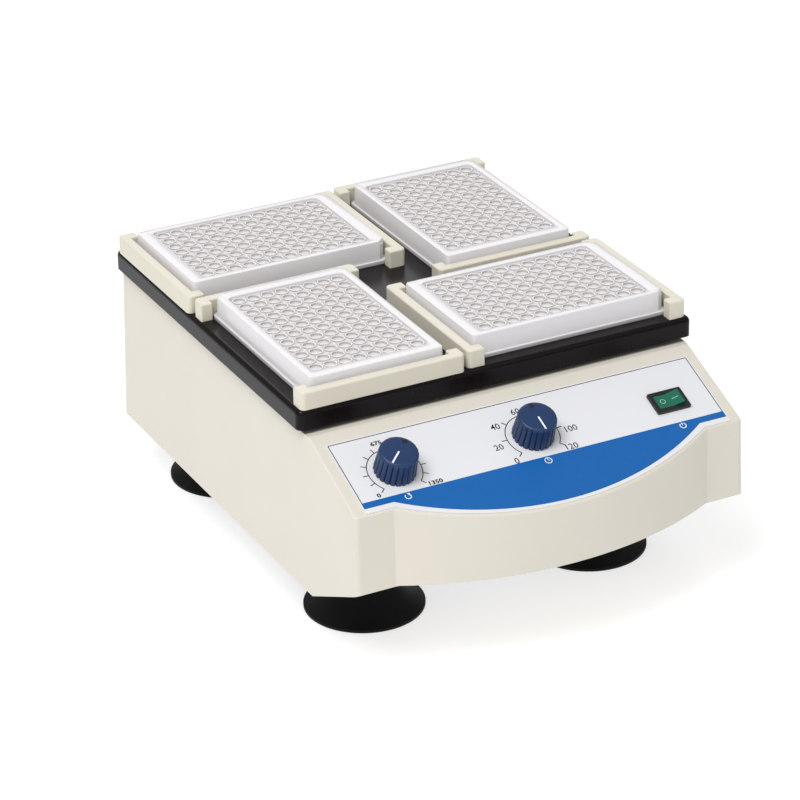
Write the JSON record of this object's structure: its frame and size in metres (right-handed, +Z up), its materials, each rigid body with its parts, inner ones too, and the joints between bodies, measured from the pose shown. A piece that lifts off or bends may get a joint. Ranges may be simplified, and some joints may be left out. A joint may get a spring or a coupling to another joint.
{
  "type": "microplate orbital shaker",
  "caption": "Benchtop orbital shaker: ivory housing on suction feet with a sloping dial panel and a black orbiting platform that holds microplates in corner brackets.",
  "frame": {"origin": "on the table, under the middle of the outer box", "axes": "+Z up, the control panel faces -Y, +X to the user's right"},
  "size_m": [0.251, 0.341, 0.1615],
  "materials": {
    "ivory_shell": "satin moulded ivory plastic",
    "bracket_ivory": "satin moulded ivory plastic",
    "black_tray": "black powder coat",
    "plate_white": "clear to white polystyrene",
    "label": "white film with a printed blue band",
    "knob_blue": "fine grained dark blue plastic",
    "rocker_green": "translucent green",
    "black_plastic": "matt",
    "black_rubber": "matt rubber",
    "zinc_steel": "zinc plated",
    "steel": "turned steel",
    "alloy": "machined aluminium",
    "bronze": "sintered bronze",
    "board_green": "solder-masked board",
    "board_black": "component bodies",
    "iron": "laminated iron",
    "fuse_glass": "glass tube fuse"
  },
  "bodies": {
    "base": {"housing_shell": "ivory_shell", "base_plate": "zinc_steel", "base_screws": "zinc_steel", "suction_feet": "black_rubber", "foot_studs": "zinc_steel", "foot_nuts": "zinc_steel", "chassis_plate": "alloy", "chassis_screws": "zinc_steel", "drive_screws": "zinc_steel", "bearing_housing": "alloy", "main_bearings": "steel", "drive_belt": "black_rubber", "motor_can": "steel", "motor_stator": "iron", "idler_sleeves": "bronze", "panel_label": "label", "speed_control": "black_plastic", "timer_control": "black_plastic", "control_nuts": "zinc_steel", "switch_body": "black_plastic", "inlet_body": "black_plastic", "inlet_pins": "zinc_steel", "board_standoffs": "zinc_steel", "control_board": "board_green", "board_parts": "board_black", "transformer": "iron", "transformer_bolts": "zinc_steel"},
    "crank": {"crankshaft": "steel", "drive_pulley": "alloy", "counterweight": "steel"},
    "platform": {"platform_tray": "black_tray", "platform_hub": "alloy", "hub_bearing": "steel", "platform_bushes": "bronze", "bracket_screws": "zinc_steel", "bracket_front_left_front": "bracket_ivory", "bracket_front_left_rear": "bracket_ivory", "bracket_front_right_left": "bracket_ivory", "bracket_front_right_right": "bracket_ivory", "bracket_rear_left_left": "bracket_ivory", "bracket_rear_left_right": "bracket_ivory", "bracket_rear_right_front": "bracket_ivory", "bracket_rear_right_rear": "bracket_ivory"},
    "idler_a": {"idler_front_left": "steel"},
    "idler_b": {"idler_front_right": "steel"},
    "idler_c": {"idler_rear_left": "steel"},
    "idler_d": {"idler_rear_right": "steel"},
    "rotor": {"motor_rotor": "iron", "motor_pulley": "alloy"},
    "speed_dial": {"speed_knob": "knob_blue", "speed_shaft": "steel"},
    "timer_dial": {"timer_knob": "knob_blue", "timer_shaft": "steel"},
    "rocker": {"power_rocker": "rocker_green"},
    "drawer": {"fuse_drawer": "black_plastic", "fuses": "fuse_glass"},
    "plate_a": {"microplate_front_left": "plate_white"},
    "plate_b": {"microplate_front_right": "plate_white"},
    "plate_c": {"microplate_rear_left": "plate_white"},
    "plate_d": {"microplate_rear_right": "plate_white"}
  },
  "joints": [
    {"name": "crank_spin", "type": "hinge", "parent": "base", "child": "crank", "pos_m": [0, 0.0396, 0.11], "axis": [0, 0, 1], "continuous": true},
    {"name": "platform_orbit", "type": "hinge", "parent": "crank", "child": "platform", "pos_m": [0, 0.0416, 0.14], "axis": [0, 0, 1], "continuous": true},
    {"name": "idler_a_spin", "type": "hinge", "parent": "base", "child": "idler_a", "pos_m": [-0.082, -0.0424, 0.125], "axis": [0, 0, 1], "continuous": true},
    {"name": "idler_b_spin", "type": "hinge", "parent": "base", "child": "idler_b", "pos_m": [0.082, -0.0424, 0.125], "axis": [0, 0, 1], "continuous": true},
    {"name": "idler_c_spin", "type": "hinge", "parent": "base", "child": "idler_c", "pos_m": [-0.082, 0.1216, 0.125], "axis": [0, 0, 1], "continuous": true},
    {"name": "idler_d_spin", "type": "hinge", "parent": "base", "child": "idler_d", "pos_m": [0.082, 0.1216, 0.125], "axis": [0, 0, 1], "continuous": true},
    {"name": "rotor_spin", "type": "hinge", "parent": "base", "child": "rotor", "pos_m": [0.06, 0.0836, 0.1], "axis": [0, 0, 1], "continuous": true},
    {"name": "speed_dial_turn", "type": "hinge", "parent": "base", "child": "speed_dial", "pos_m": [-0.086, -0.12087, 0.1185], "axis": [0, 0.3778, -0.9259], "range_deg": [0, 265]},
    {"name": "timer_dial_turn", "type": "hinge", "parent": "base", "child": "timer_dial", "pos_m": [0, -0.12087, 0.1185], "axis": [0, 0.3778, -0.9259], "range_deg": [0, 310]},
    {"name": "rocker_tip", "type": "hinge", "parent": "base", "child": "rocker", "pos_m": [0.0872, -0.12184, 0.11875], "axis": [0, 0.9259, 0.3778], "range_deg": [0, 16]},
    {"name": "drawer_slide", "type": "slide", "parent": "base", "child": "drawer", "axis": [0, 1, 0], "range_m": [0, 0.018]},
    {"name": "plate_a_lift", "type": "slide", "parent": "platform", "child": "plate_a", "axis": [0, 0, 1], "range_m": [0, 0.03]},
    {"name": "plate_b_lift", "type": "slide", "parent": "platform", "child": "plate_b", "axis": [0, 0, 1], "range_m": [0, 0.03]},
    {"name": "plate_c_lift", "type": "slide", "parent": "platform", "child": "plate_c", "axis": [0, 0, 1], "range_m": [0, 0.03]},
    {"name": "plate_d_lift", "type": "slide", "parent": "platform", "child": "plate_d", "axis": [0, 0, 1], "range_m": [0, 0.03]}
  ],
  "couplings": [
    {"joint": "platform_orbit", "follows": "crank_spin", "ratio": -1},
    {"joint": "idler_a_spin", "follows": "crank_spin", "ratio": 1},
    {"joint": "idler_b_spin", "follows": "crank_spin", "ratio": 1},
    {"joint": "idler_c_spin", "follows": "crank_spin", "ratio": 1},
    {"joint": "idler_d_spin", "follows": "crank_spin", "ratio": 1},
    {"joint": "rotor_spin", "follows": "crank_spin", "ratio": 3.3333}
  ]
}
